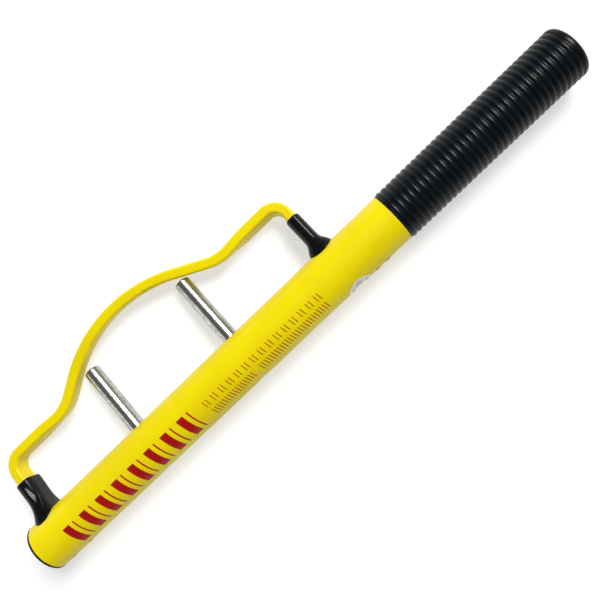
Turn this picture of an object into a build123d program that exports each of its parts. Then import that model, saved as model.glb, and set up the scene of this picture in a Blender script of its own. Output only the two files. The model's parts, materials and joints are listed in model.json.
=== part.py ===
from build123d import *
from math import asin, atan2, cos, degrees, hypot, pi, radians, sin, sqrt, tan
import os

# Steering wheel lock: a steel tube with a hand grip, a hoop that hinges at the tube's end and is
# caught by a key-operated bolt, and two pins that stand inside the hoop to trap the wheel's rim.
#
# Working frame: X runs along the tube from the outer face of its end cap towards the grip, Y points
# from the tube's axis to the hoop, and Z is square to the hoop. Every piece is drawn in this frame
# with the hoop shut and the bolt drawn back. The last step lays the lock on a table, standing on
# its grip and its hoop, with the middle of its footprint at the origin. Lengths are millimetres.

# ---- driving dimensions ----------------------------------------------------------------------

# Fits and gaps, all measured on one side.
SLIDE_FIT = 0.05
PRESS_FIT = 0.02
RUNNING_GAP = 0.3
FREE_GAP = 0.5

# Main tube and the handle tube that plugs into it.
TUBE_OD = 48.3
TUBE_WALL = 2.9
TUBE_END = 446.4
HANDLE_WALL = 2.6
HANDLE_OVERLAP = 17.0

# End cap.
CAP_FLANGE = 2.6
CAP_SPIGOT = 5.4
CAP_WALL = 3.0
CAP_EDGE = 0.8

# Hand grip: a closed sleeve with rounded rings.
GRIP_LENGTH = 205.6
GRIP_WALL = 3.95
GRIP_RING_PITCH = 5.98
GRIP_RING_HEIGHT = 0.95
GRIP_GROOVE = 0.7
GRIP_START_BAND = 1.6
GRIP_END_BAND = 6.0
GRIP_END_WALL = 5.5
GRIP_END_ROUND = 4.5
END_PLUG_FLANGE = 2.0
END_PLUG_SPIGOT = 12.0
END_PLUG_WALL = 3.0

# Hoop bar: a flat bar on edge, with softly rounded corners.
BAR_THICK = 10.0
BAR_WIDTH = 20.0
BAR_EDGE = 2.5
HOOP_REACH = 84.5
BEND_RADIUS = 15.0
TWIST_LENGTH = 20.0

# Arch of the hoop. It leans out of the plane of the legs, and is set by its two flanks.
ARCH_LEAN = 12.0
ARCH_FOOT_LOW = 101.9
ARCH_FOOT_HIGH = 305.3
ARCH_SLOPE_LOW = 30.0
ARCH_SLOPE_HIGH = 27.0
ARCH_CROWN_RADIUS = 143.0
ARCH_FOOT_RADIUS = 45.0

# Hinge of the hoop.
HINGE_X = 24.0
HINGE_Y = 10.0
HINGE_PIN_D = 8.0
HINGE_OPEN = 14.0
KNUCKLE_D = 16.0
KNUCKLE_NECK = 9.0
HINGE_WASHER = 0.8
HINGE_BLOCK_END = 46.0
SET_SCREW_D = 6.0
SET_SCREW_LENGTH = 12.0
SET_SCREW_SOCKET = 3.0
SET_SCREW_SINK = 0.6
HINGE_SCREW_STATIONS = (16.0, 38.0)

# Rubber boot over the hinge, and the rubber sleeve that seals the latch hole.
BOOT_WALL = 2.6
BOOT_TOP = 60.5
BOOT_WAIST = 38.0
BOOT_HEEL = 6.0
BOOT_TOE = 2.0
BOOT_FOOT_Z = 2.8
SLEEVE_WALL = 2.1
SLEEVE_TOP = 62.5
SLEEVE_FLARE_TOP = 35.0
SLEEVE_FLARE_WAIST = 29.0
SLEEVE_FOOT = 5.4
SLEEVE_TOP_ROUND = 1.4

# Pins that trap the rim of the wheel.
PIN_D = 16.0
PIN_REACH = 94.5
PIN_STATIONS = {"lower": 143.5, "upper": 265.5}
PIN_TIP_ROUND = 2.2
PIN_SPIGOT_D = 8.0
PIN_BUSH_D = 27.0
PIN_BUSH_LENGTH = 8.0

# Latch: the hoop's free leg, the bolt that crosses it, and the carrier that holds them.
LATCH_X = 381.5
LATCH_GAP = 0.8
LATCH_TIP_CHAMFER = 1.8
NOTCH_DEPTH = 5.5
BOLT_STROKE = 6.0
BOLT_NOSE_HEIGHT = 8.0
BOLT_NOSE_WIDTH = 14.0
BOLT_BODY_LENGTH = 14.0
BOLT_NECK = 8.7
BOLT_PLATE = 3.0
BOLT_PLATE_WIDTH = 18.0
BOLT_COVER = 3.0
CARRIER_FRONT = 17.5
CARRIER_SPRING_ROOM = 14.0
END_PLATE = 4.0
END_PLATE_SCREW_D = 4.0
END_PLATE_SCREW_LENGTH = 12.0
END_PLATE_SCREW_SPREAD = 14.0
CARRIER_SCREW_PITCH = 12.0
SPRING_OD = 8.4
SPRING_WIRE = 1.0
SPRING_TURNS = 8
SPRING_POCKET = 8.0

# Lock cylinder, set in the side of the tube away from the hoop.
LOCK_OFFSET = 3.5
LOCK_BODY_D = 26.0
LOCK_PLUG_D = 19.0
LOCK_FLUSH = 0.15
LOCK_PLUG_SINK = 1.5
LOCK_BACK_WALL = 2.5
KEYWAY_WIDTH = 2.6
KEYWAY_HEIGHT = 9.0
PLUG_FACE = 2.4
PLUG_SHELL = 2.0
DISC_COUNT = 6
DISC_GAP = 0.25
SIDE_BAR_D = 2.0
CAM_THICK = 2.6
CAM_D = 15.0
CAM_SHAFT_D = 8.0
CAM_PIN_D = 4.0
CAM_GAP = 0.3
CAM_SCREW_D = 2.4
CAM_SCREW_HEAD_D = 4.2
CAM_SCREW_LENGTH = 7.0
GRUB_D = 5.0
GRUB_BITE = 0.6

# ---- sizes that follow -------------------------------------------------------------------------

TUBE_R = TUBE_OD / 2
BORE_R = TUBE_R - TUBE_WALL
BLOCK_R = BORE_R - SLIDE_FIT
HANDLE_R = BORE_R - SLIDE_FIT
HANDLE_BORE_R = HANDLE_R - HANDLE_WALL
OVERALL = TUBE_END + GRIP_LENGTH
HANDLE_END = OVERALL - GRIP_END_WALL - END_PLUG_FLANGE - 2 * SLIDE_FIT
GRIP_BORE_R = HANDLE_R + SLIDE_FIT
GRIP_R = GRIP_BORE_R + GRIP_WALL
GRIP_RING_COUNT = int((GRIP_LENGTH - GRIP_START_BAND - GRIP_END_BAND) / GRIP_RING_PITCH)

HALF_THICK = BAR_THICK / 2
HALF_WIDTH = BAR_WIDTH / 2
BAR_ROOT = HINGE_Y + KNUCKLE_NECK
WASHER_R = KNUCKLE_D / 2 - 0.5

LOCK_X = LATCH_X + LOCK_OFFSET
CAM_TOP = -CAM_GAP
PLATE_BOTTOM = CAM_TOP + CAM_GAP
PLATE_TOP = PLATE_BOTTOM + BOLT_PLATE
LEG_TIP = PLATE_TOP + 2 * LATCH_GAP
CAM_BOTTOM = CAM_TOP - CAM_THICK
LOCK_INNER = CAM_BOTTOM - CAM_GAP
NOSE_TOP = sqrt((BLOCK_R - BOLT_COVER) ** 2 - (BOLT_NOSE_WIDTH / 2) ** 2)
NOSE_BOTTOM = NOSE_TOP - BOLT_NOSE_HEIGHT
LEG_FACE_X = LATCH_X + HALF_THICK
NOSE_X = LEG_FACE_X + RUNNING_GAP + FREE_GAP
BOLT_BACK_X = NOSE_X + BOLT_NECK + BOLT_BODY_LENGTH
CARRIER_START = LATCH_X - CARRIER_FRONT
CARRIER_END = BOLT_BACK_X + CARRIER_SPRING_ROOM
CAM_THROW = BOLT_STROKE / sqrt(2)
CAM_PIN_OFFSET = CAM_THROW / sqrt(2)
SPRING_Y = (PLATE_TOP + NOSE_TOP) / 2

# The lock lies on a table: the grip and the long edge of the hoop both touch it.
HOOP_CORNER = (HOOP_REACH + HALF_THICK - BAR_EDGE, HALF_WIDTH - BAR_EDGE)
REST_TILT = degrees(
    asin((GRIP_R - BAR_EDGE) / hypot(*HOOP_CORNER)) - atan2(HOOP_CORNER[1], HOOP_CORNER[0])
)


# ---- plain shapes ------------------------------------------------------------------------------


def rod_x(radius, x0, x1, y=0.0, z=0.0):
    """A round rod along X from x0 to x1."""
    return Pos((x0 + x1) / 2, y, z) * Rot(0, 90, 0) * Cylinder(radius, x1 - x0)


def rod_y(radius, y0, y1, x=0.0, z=0.0):
    """A round rod along Y from y0 to y1."""
    return Pos(x, (y0 + y1) / 2, z) * Rot(90, 0, 0) * Cylinder(radius, y1 - y0)


def rod_z(radius, z0, z1, x=0.0, y=0.0):
    """A round rod along Z from z0 to z1."""
    return Pos(x, y, (z0 + z1) / 2) * Cylinder(radius, z1 - z0)


def block(x0, x1, y0, y1, z0, z1):
    """A box between two corners."""
    return Pos((x0 + x1) / 2, (y0 + y1) / 2, (z0 + z1) / 2) * Box(x1 - x0, y1 - y0, z1 - z0)


def pipe_x(outer, inner, x0, x1):
    """A round pipe along X."""
    return rod_x(outer, x0, x1) - rod_x(inner, x0, x1)


def bar_profile(extra=0.0):
    """The hoop bar's section, grown by extra on every side. Its first axis is the bar's width."""
    return RectangleRounded(BAR_WIDTH + 2 * extra, BAR_THICK + 2 * extra, BAR_EDGE + extra)


def upright_section(x, y, size_x, size_z, radius):
    """A rounded rectangle square to Y, size_x along the tube and size_z across it."""
    return Plane(origin=(x, y, 0), x_dir=(1, 0, 0), z_dir=(0, 1, 0)) * RectangleRounded(
        size_x, size_z, radius
    )


def leg_prism(x, y0, y1, extra):
    """The room that a straight leg of the hoop takes up, grown by extra on every side."""
    plane = Plane(origin=(x, y0, 0), x_dir=(0, 0, 1), z_dir=(0, 1, 0))
    return extrude(plane * bar_profile(extra), y1 - y0)


def set_screw(x, depth_r):
    """A hexagon socket set screw, driven along +Y into the side of the tube away from the hoop."""
    y0 = -depth_r + SET_SCREW_SINK
    screw = rod_y(SET_SCREW_D / 2, y0, y0 + SET_SCREW_LENGTH, x)
    socket_plane = Plane(origin=(x, y0, 0), x_dir=(1, 0, 0), z_dir=(0, 1, 0))
    socket = extrude(
        socket_plane * RegularPolygon(SET_SCREW_SOCKET / 2, 6, major_radius=False),
        SET_SCREW_SOCKET * 1.2,
    )
    return screw - socket


def set_screw_hole(x, radius, y1):
    """The hole for a set screw, from outside the tube to y1."""
    return rod_y(radius, -TUBE_R - 5, y1, x)


# ---- hoop --------------------------------------------------------------------------------------


def width_direction(lean):
    """The direction of the bar's width where it leans by lean degrees about X."""
    return (0, -sin(radians(lean)), cos(radians(lean)))


def arch_point(x, rise):
    """A point of the leaning arch, rise being measured in its own plane."""
    return (x, HOOP_REACH + rise * cos(radians(ARCH_LEAN)), rise * sin(radians(ARCH_LEAN)))


def bar_along(path, lean=0.0):
    """The hoop bar swept along a path that lies in one plane."""
    start = Plane(origin=path @ 0, x_dir=width_direction(lean), z_dir=path % 0)
    return sweep(start * bar_profile(), path=path)


def bar_twist(x0, x1, lean0, lean1):
    """The straight piece of bar that turns from one lean to the other."""
    faces = [
        Plane(origin=(x, HOOP_REACH, 0), x_dir=width_direction(lean), z_dir=(1, 0, 0)) * bar_profile()
        for x, lean in ((x0, lean0), (x1, lean1))
    ]
    return loft(faces, ruled=True)


def foot_run(slope):
    """How far a foot of the arch starts bending before its corner."""
    return ARCH_FOOT_RADIUS * tan(radians(slope) / 2)


ARCH_START = ARCH_FOOT_LOW - foot_run(ARCH_SLOPE_LOW) - 1.0
ARCH_FINISH = ARCH_FOOT_HIGH + foot_run(ARCH_SLOPE_HIGH) + 1.0


def make_hoop_bar():
    """The bent bar: hinge leg, arch and latch leg, with the notch that the bolt enters."""
    low, high = tan(radians(ARCH_SLOPE_LOW)), tan(radians(ARCH_SLOPE_HIGH))
    crown_x = (low * ARCH_FOOT_LOW + high * ARCH_FOOT_HIGH) / (low + high)
    crown_rise = low * (crown_x - ARCH_FOOT_LOW)

    hinge_leg = FilletPolyline(
        (HINGE_X, BAR_ROOT),
        (HINGE_X, HOOP_REACH),
        (ARCH_START - TWIST_LENGTH, HOOP_REACH),
        radius=BEND_RADIUS,
    )
    arch = FilletPolyline(
        arch_point(ARCH_START, 0),
        arch_point(ARCH_FOOT_LOW, 0),
        arch_point(crown_x, crown_rise),
        arch_point(ARCH_FOOT_HIGH, 0),
        arch_point(ARCH_FINISH, 0),
        radius=[ARCH_FOOT_RADIUS, ARCH_CROWN_RADIUS, ARCH_FOOT_RADIUS],
    )
    latch_leg = FilletPolyline(
        (ARCH_FINISH + TWIST_LENGTH, HOOP_REACH),
        (LATCH_X, HOOP_REACH),
        (LATCH_X, LEG_TIP),
        radius=BEND_RADIUS,
    )
    bar = bar_along(hinge_leg)
    bar += bar_twist(ARCH_START - TWIST_LENGTH, ARCH_START, 0, ARCH_LEAN)
    bar += bar_along(arch, ARCH_LEAN)
    bar += bar_twist(ARCH_FINISH, ARCH_FINISH + TWIST_LENGTH, ARCH_LEAN, 0)
    bar += bar_along(latch_leg)

    notch = block(
        LEG_FACE_X - NOTCH_DEPTH,
        LEG_FACE_X + 1,
        NOSE_BOTTOM - LATCH_GAP,
        NOSE_TOP + LATCH_GAP,
        -BAR_WIDTH,
        BAR_WIDTH,
    )
    tip_cutters = Sketch() + [
        Plane.XY * Polygon(
            (LATCH_X + side * (HALF_THICK - LATCH_TIP_CHAMFER), LEG_TIP - 0.01),
            (LATCH_X + side * (HALF_THICK + 0.01), LEG_TIP - 0.01),
            (LATCH_X + side * (HALF_THICK + 0.01), LEG_TIP + LATCH_TIP_CHAMFER),
            align=None,
        )
        for side in (-1, 1)
    ]
    return bar - notch - extrude(tip_cutters, BAR_WIDTH, both=True)


def make_hinge_knuckle():
    """The eye welded to the hinge leg: a short barrel with a neck the size of the bar."""
    barrel = rod_z(KNUCKLE_D / 2, -HALF_WIDTH, HALF_WIDTH, HINGE_X, HINGE_Y)
    neck = leg_prism(HINGE_X, HINGE_Y, BAR_ROOT, 0)
    bore = rod_z(HINGE_PIN_D / 2 + SLIDE_FIT, -BAR_WIDTH, BAR_WIDTH, HINGE_X, HINGE_Y)
    return barrel + neck - bore


def make_latch_sleeve():
    """The moulded rubber sleeve on the latch leg, with a flared foot shaped to the tube."""
    grow = 2 * SLEEVE_WALL
    straight = extrude(
        upright_section(
            LATCH_X, SLEEVE_FLARE_TOP, BAR_THICK + grow, BAR_WIDTH + grow, BAR_EDGE + SLEEVE_WALL
        ),
        SLEEVE_TOP - SLEEVE_FLARE_TOP,
    )
    straight = fillet(straight.faces().sort_by(Axis.Y)[-1].edges(), SLEEVE_TOP_ROUND)
    foot_x = BAR_THICK + grow + 2 * SLEEVE_FOOT
    foot_z = BAR_WIDTH + grow + SLEEVE_FOOT
    flare = loft(
        [
            upright_section(
                LATCH_X,
                SLEEVE_FLARE_TOP,
                BAR_THICK + grow,
                BAR_WIDTH + grow,
                BAR_EDGE + SLEEVE_WALL,
            ),
            upright_section(
                LATCH_X,
                SLEEVE_FLARE_WAIST,
                BAR_THICK + grow + 0.7 * SLEEVE_FOOT,
                BAR_WIDTH + grow + 0.4 * SLEEVE_FOOT,
                BAR_EDGE + SLEEVE_WALL + 1,
            ),
            upright_section(LATCH_X, TUBE_R - 1, foot_x, foot_z, foot_x / 2 - 1),
        ],
        ruled=True,
    )
    skirt = extrude(upright_section(LATCH_X, TUBE_R - 1, foot_x, foot_z, foot_x / 2 - 1), -7)
    sleeve = straight + flare + skirt
    sleeve -= rod_x(TUBE_R + RUNNING_GAP, LATCH_X - foot_x, LATCH_X + foot_x)
    return sleeve - leg_prism(LATCH_X, 0, SLEEVE_TOP + 5, PRESS_FIT)


# ---- hinge -------------------------------------------------------------------------------------


def swing_room(gap):
    """The outline, square to Z, that the hinge leg sweeps while the hoop opens, with a gap."""
    angle = radians(HINGE_OPEN)
    half = HALF_THICK + gap
    reach = 2 * TUBE_OD
    along = (-sin(angle), cos(angle))
    side = (-cos(angle), -sin(angle))
    left_foot = (HINGE_X + half * side[0], HINGE_Y + half * side[1])
    left_top = (left_foot[0] + reach * along[0], left_foot[1] + reach * along[1])
    return Polygon(
        (HINGE_X + half, HINGE_Y),
        (HINGE_X + half, HINGE_Y + reach),
        left_top,
        left_foot,
        align=None,
    )


def hinge_room(gap):
    """The room that the knuckle, its washers and the hinge leg need."""
    slot = extrude(swing_room(gap), HALF_WIDTH + gap, both=True)
    barrel_half = HALF_WIDTH + HINGE_WASHER + SLIDE_FIT
    barrel = rod_z(KNUCKLE_D / 2 + gap, -barrel_half, barrel_half, HINGE_X, HINGE_Y)
    return slot + barrel


def washer_room(gap):
    """The room that the knuckle's two washers need inside the tube."""
    half = HALF_WIDTH + HINGE_WASHER + gap
    return rod_z(WASHER_R + gap, -half, half, HINGE_X, HINGE_Y)


def make_hinge_block():
    """The round steel block in the tube's end that carries the hinge pin."""
    start = CAP_FLANGE + CAP_SPIGOT + FREE_GAP
    body = rod_x(BLOCK_R, start, HINGE_BLOCK_END)
    body -= hinge_room(FREE_GAP)
    body -= rod_z(HINGE_PIN_D / 2 + PRESS_FIT, -TUBE_R, TUBE_R, HINGE_X, HINGE_Y)
    for x in HINGE_SCREW_STATIONS:
        hole_end = -TUBE_R + SET_SCREW_SINK + SET_SCREW_LENGTH + FREE_GAP
        body -= set_screw_hole(x, SET_SCREW_D / 2 + PRESS_FIT, hole_end)
    return body


def make_hinge_pin():
    """The hardened pin that the hoop turns on, captive between the walls of the tube."""
    half = sqrt((BLOCK_R - 0.5) ** 2 - (HINGE_Y + HINGE_PIN_D / 2) ** 2)
    pin = rod_z(HINGE_PIN_D / 2, -half, half, HINGE_X, HINGE_Y)
    return chamfer(pin.edges().filter_by(GeomType.CIRCLE), 0.6)


def make_hinge_washers():
    """Two thrust washers, one on each side of the knuckle."""
    washers = []
    for side in (-1, 1):
        z0, z1 = sorted((side * (HALF_WIDTH + SLIDE_FIT / 2), side * (HALF_WIDTH + HINGE_WASHER)))
        ring = rod_z(WASHER_R, z0, z1, HINGE_X, HINGE_Y)
        ring -= rod_z(HINGE_PIN_D / 2 + SLIDE_FIT, z0, z1, HINGE_X, HINGE_Y)
        washers.append(ring)
    return Compound(children=washers)


def make_hinge_boot():
    """The hollow rubber boot that hugs the hinge leg and spreads over the slot in the tube."""

    def shell(shrink):
        top_x, top_z = BAR_THICK + 2 * BOOT_WALL, BAR_WIDTH + 2 * BOOT_WALL
        corner = BAR_EDGE + BOOT_WALL
        foot_x = top_x + BOOT_HEEL + BOOT_TOE
        foot_shift = (BOOT_TOE - BOOT_HEEL) / 2
        levels = (
            (TUBE_R - 7, foot_x, top_z + 2 * BOOT_FOOT_Z, foot_shift, corner + 3),
            (TUBE_R + 1.5, foot_x, top_z + 2 * BOOT_FOOT_Z, foot_shift, corner + 3),
            ((TUBE_R + BOOT_WAIST) / 2, top_x + 2.4, top_z + 1.6, foot_shift * 0.35, corner + 1),
            (BOOT_WAIST, top_x, top_z, 0, corner),
        )
        return loft(
            [
                upright_section(HINGE_X + shift, y, sx - 2 * shrink, sz - 2 * shrink, r - shrink)
                for y, sx, sz, shift, r in levels
            ],
            ruled=True,
        )

    collar = extrude(
        upright_section(
            HINGE_X,
            BOOT_WAIST,
            BAR_THICK + 2 * BOOT_WALL,
            BAR_WIDTH + 2 * BOOT_WALL,
            BAR_EDGE + BOOT_WALL,
        ),
        BOOT_TOP - BOOT_WAIST,
    )
    collar = fillet(collar.faces().sort_by(Axis.Y)[-1].edges(), SLEEVE_TOP_ROUND)
    boot = shell(0) + collar - shell(BOOT_WALL - SLIDE_FIT)
    boot -= rod_x(TUBE_R + PRESS_FIT, 0, 4 * HINGE_X)
    return boot - leg_prism(HINGE_X, 0, BOOT_TOP + 5, SLIDE_FIT)


# ---- tube, cap, handle and grip ----------------------------------------------------------------


def make_main_tube():
    """The main tube with the hinge slot, the pin holes, the latch hole and the lock hole."""
    tube = pipe_x(TUBE_R, BORE_R, CAP_FLANGE, TUBE_END)
    tube -= extrude(swing_room(FREE_GAP), HALF_WIDTH + FREE_GAP, both=True)
    tube -= washer_room(RUNNING_GAP)
    for x in PIN_STATIONS.values():
        tube -= rod_y(PIN_D / 2 + PRESS_FIT, 0, 2 * TUBE_R, x)
        tube -= rod_y(PIN_SPIGOT_D / 2 + PRESS_FIT, -2 * TUBE_R, 0, x)
    tube -= leg_prism(LATCH_X, 0, 2 * TUBE_R, LATCH_GAP)
    tube -= rod_y(LOCK_BODY_D / 2 + SLIDE_FIT, -2 * TUBE_R, 0, LOCK_X)
    for x in (*HINGE_SCREW_STATIONS, *carrier_screw_stations()):
        tube -= set_screw_hole(x, SET_SCREW_D / 2 + RUNNING_GAP, 0)
    return tube


def make_tube_end_cap():
    """The plastic cap: a flange the size of the tube and a ribbed spigot."""
    flange = rod_x(TUBE_R, 0, CAP_FLANGE)
    flange = fillet(flange.edges().sort_by(Axis.X)[0], CAP_EDGE)
    spigot_end = CAP_FLANGE + CAP_SPIGOT
    spigot_r = BORE_R - RUNNING_GAP
    spigot = pipe_x(spigot_r, spigot_r - CAP_WALL, CAP_FLANGE, spigot_end)
    cap = flange + spigot
    for angle in range(0, 360, 60):
        rib = block(CAP_FLANGE, spigot_end - 1, spigot_r - 1, BORE_R - SLIDE_FIT, -0.8, 0.8)
        cap += Rot(angle, 0, 0) * rib
    return cap


def make_handle_tube():
    """The inner tube that carries the grip, fixed inside the end of the main tube."""
    return pipe_x(HANDLE_R, HANDLE_BORE_R, TUBE_END - HANDLE_OVERLAP, HANDLE_END)


def make_handle_end_plug():
    """The plastic plug that closes the handle tube under the grip."""
    flange = rod_x(HANDLE_R, HANDLE_END, HANDLE_END + END_PLUG_FLANGE)
    outer = HANDLE_BORE_R - SLIDE_FIT
    spigot = pipe_x(outer, outer - END_PLUG_WALL, HANDLE_END - END_PLUG_SPIGOT, HANDLE_END)
    return flange + spigot


def make_hand_grip():
    """The closed grip sleeve, turned from one outline of equal rounded rings."""
    groove_r = GRIP_R - GRIP_RING_HEIGHT
    first = TUBE_END + GRIP_START_BAND + (GRIP_RING_PITCH - GRIP_GROOVE) / 2
    lines = [Line((TUBE_END, 0), (TUBE_END, groove_r))]
    x = TUBE_END
    for ring in range(GRIP_RING_COUNT):
        centre = first + ring * GRIP_RING_PITCH
        half = (GRIP_RING_PITCH - GRIP_GROOVE) / 2
        if centre - half > x + 0.001:
            lines.append(Line((x, groove_r), (centre - half, groove_r)))
        lines.append(
            ThreePointArc((centre - half, groove_r), (centre, GRIP_R), (centre + half, groove_r))
        )
        x = centre + half
    band = x + GRIP_GROOVE
    lines.append(Line((x, groove_r), (band, groove_r)))
    lines.append(Line((band, groove_r), (band + GRIP_RING_HEIGHT, GRIP_R)))
    round_start = OVERALL - GRIP_END_ROUND
    lines.append(Line((band + GRIP_RING_HEIGHT, GRIP_R), (round_start, GRIP_R)))
    lines.append(
        RadiusArc((round_start, GRIP_R), (OVERALL, GRIP_R - GRIP_END_ROUND), GRIP_END_ROUND)
    )
    lines.append(Line((OVERALL, GRIP_R - GRIP_END_ROUND), (OVERALL, 0)))
    lines.append(Line((OVERALL, 0), (TUBE_END, 0)))
    outline = make_face(Curve() + lines)
    grip = revolve(outline, Axis.X)
    return grip - rod_x(GRIP_BORE_R, TUBE_END - 1, OVERALL - GRIP_END_WALL)


# ---- wheel pins --------------------------------------------------------------------------------


def make_wheel_pin(x):
    """A ground steel pin through the tube, with a spigot riveted flush in the far wall."""
    shoulder = -sqrt(BORE_R**2 - (PIN_D / 2) ** 2) + SLIDE_FIT
    pin = rod_y(PIN_D / 2, shoulder, PIN_REACH, x)
    tip = pin.edges().filter_by(GeomType.CIRCLE).sort_by(Axis.Y)[-1]
    pin = fillet(tip, PIN_TIP_ROUND)
    spigot = rod_y(PIN_SPIGOT_D / 2, -TUBE_R, shoulder, x)
    return pin + (spigot & rod_x(TUBE_R - SLIDE_FIT, x - PIN_D, x + PIN_D))


def make_pin_bush(x):
    """The collar inside the tube that backs the pin's hole."""
    inner = BORE_R - PIN_BUSH_LENGTH
    bush = rod_y(PIN_BUSH_D / 2, inner, TUBE_R, x) & rod_x(BLOCK_R, x - PIN_BUSH_D, x + PIN_BUSH_D)
    return bush - rod_y(PIN_D / 2 + PRESS_FIT, 0, TUBE_R, x)


# ---- latch -------------------------------------------------------------------------------------


def carrier_screw_stations():
    """Where the two set screws hold the latch carrier in the tube."""
    last = CARRIER_END - SET_SCREW_D
    return (last - CARRIER_SCREW_PITCH, last)


def bolt_shape(gap, stroke):
    """The bolt's blocks grown by gap, and drawn out forwards by stroke."""
    half_plate = BOLT_PLATE_WIDTH / 2 + gap
    half_nose = BOLT_NOSE_WIDTH / 2 + gap
    plate = block(
        LOCK_X - CAM_D / 2 - gap - stroke,
        BOLT_BACK_X + gap,
        PLATE_BOTTOM - gap,
        PLATE_TOP + gap,
        -half_plate,
        half_plate,
    )
    nose = block(
        NOSE_X - gap - stroke,
        BOLT_BACK_X + gap,
        NOSE_BOTTOM - gap,
        NOSE_TOP + gap,
        -half_nose,
        half_nose,
    )
    back = block(
        BOLT_BACK_X - BOLT_BODY_LENGTH - gap - stroke,
        BOLT_BACK_X + gap,
        PLATE_TOP - 1,
        NOSE_TOP + gap,
        -half_nose,
        half_nose,
    )
    return plate + nose + back


def make_latch_bolt():
    """The sliding bolt: a nose that enters the hoop's leg, and a plate that the cam drives."""
    slot_half = CAM_PIN_D / 2 + RUNNING_GAP
    slot_x = LOCK_X + CAM_PIN_OFFSET
    cam_slot = block(
        slot_x - slot_half,
        slot_x + slot_half,
        PLATE_BOTTOM - 1,
        PLATE_TOP + 1,
        -CAM_THROW - CAM_PIN_D / 2 - RUNNING_GAP,
        -CAM_PIN_OFFSET + CAM_PIN_D / 2 + RUNNING_GAP,
    )
    pocket = rod_x(SPRING_OD / 2 + FREE_GAP, BOLT_BACK_X - SPRING_POCKET, BOLT_BACK_X + 1, SPRING_Y)
    return bolt_shape(0, 0) - cam_slot - pocket


def make_latch_spring():
    """The coil spring behind the bolt, pressed together while the bolt is drawn back."""
    length = CARRIER_END - BOLT_BACK_X + SPRING_POCKET - 2 * SLIDE_FIT
    coil_r = (SPRING_OD - SPRING_WIRE) / 2
    rise = length - SPRING_WIRE
    coil = Helix(pitch=rise / SPRING_TURNS, height=rise, radius=coil_r)
    section = Plane(origin=coil @ 0, z_dir=coil % 0) * Circle(SPRING_WIRE / 2)
    spring = sweep(section, path=coil, is_frenet=True)
    start = BOLT_BACK_X - SPRING_POCKET + SLIDE_FIT + SPRING_WIRE / 2
    return Pos(start, SPRING_Y, 0) * Rot(0, 90, 0) * spring


def make_latch_carrier():
    """The round steel block that guides the hoop's leg and the bolt, and holds the lock."""
    carrier = rod_x(BLOCK_R, CARRIER_START, CARRIER_END)
    carrier -= leg_prism(LATCH_X, PLATE_TOP, TUBE_OD, LATCH_GAP)
    carrier -= bolt_shape(RUNNING_GAP, BOLT_STROKE)
    back_room = FREE_GAP + CARRIER_SPRING_ROOM
    half_plate = BOLT_PLATE_WIDTH / 2 + RUNNING_GAP
    half_nose = BOLT_NOSE_WIDTH / 2 + RUNNING_GAP
    rear = BOLT_BACK_X
    carrier -= block(
        rear, rear + back_room, PLATE_BOTTOM - RUNNING_GAP, PLATE_TOP + RUNNING_GAP,
        -half_plate, half_plate,
    )
    carrier -= block(rear, rear + back_room, PLATE_TOP, NOSE_TOP + RUNNING_GAP, -half_nose, half_nose)
    carrier -= rod_y(CAM_D / 2 + FREE_GAP, LOCK_INNER - 1, PLATE_BOTTOM, LOCK_X)
    carrier -= rod_y(LOCK_BODY_D / 2 + SLIDE_FIT, -TUBE_OD, LOCK_INNER, LOCK_X)
    carrier -= rod_x(GRUB_D / 2 + PRESS_FIT, CARRIER_START - 1, LOCK_X, grub_y())
    for x in carrier_screw_stations():
        hole_end = -TUBE_R + SET_SCREW_SINK + SET_SCREW_LENGTH + FREE_GAP
        carrier -= set_screw_hole(x, SET_SCREW_D / 2 + PRESS_FIT, hole_end)
    for y, z in end_plate_screw_places():
        depth = CARRIER_END - END_PLATE_SCREW_LENGTH + END_PLATE / 2
        carrier -= rod_x(END_PLATE_SCREW_D / 2 + PRESS_FIT, depth, CARRIER_END + 1, y, z)
    return carrier


def end_plate_screw_places():
    """The (y, z) places of the screws that hold the end plate."""
    y = BORE_R * 0.2
    return [(y, side * END_PLATE_SCREW_SPREAD) for side in (-1, 1)]


def make_carrier_end_plate():
    """The plate that closes the bolt's channel and backs the spring."""
    plate = rod_x(BLOCK_R, CARRIER_END, CARRIER_END + END_PLATE)
    for y, z in end_plate_screw_places():
        plate -= screw_blank_x(CARRIER_END + END_PLATE, y, z, PRESS_FIT)
    return plate


def screw_blank_x(head_x, y, z, extra):
    """A cheese-head screw along -X, with its head sunk flush at head_x, grown by extra."""
    head = END_PLATE / 2
    shank_r = END_PLATE_SCREW_D / 2 + extra
    top = rod_x(END_PLATE_SCREW_D * 0.85 + extra, head_x - head - extra, head_x, y, z)
    return top + rod_x(shank_r, head_x - END_PLATE_SCREW_LENGTH, head_x - head, y, z)


def make_end_plate_screws():
    """The two screws of the end plate, with plain slots."""
    screws = []
    head_x = CARRIER_END + END_PLATE
    for y, z in end_plate_screw_places():
        slot = block(head_x - 0.9, head_x + 1, y - 0.5, y + 0.5, z - 5, z + 5)
        screws.append(screw_blank_x(head_x, y, z, 0) - slot)
    return Compound(children=screws)


def make_set_screws(stations):
    """A group of set screws at the given places along the tube."""
    return Compound(children=[set_screw(x, TUBE_R) for x in stations])


# ---- lock cylinder -----------------------------------------------------------------------------


def grub_y():
    """The height of the grub screw that holds the lock body."""
    return (LOCK_INNER - BORE_R) / 2


PLUG_OUTER_Y = -TUBE_R + LOCK_PLUG_SINK
PLUG_INNER_Y = LOCK_INNER - LOCK_BACK_WALL - SLIDE_FIT


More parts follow.
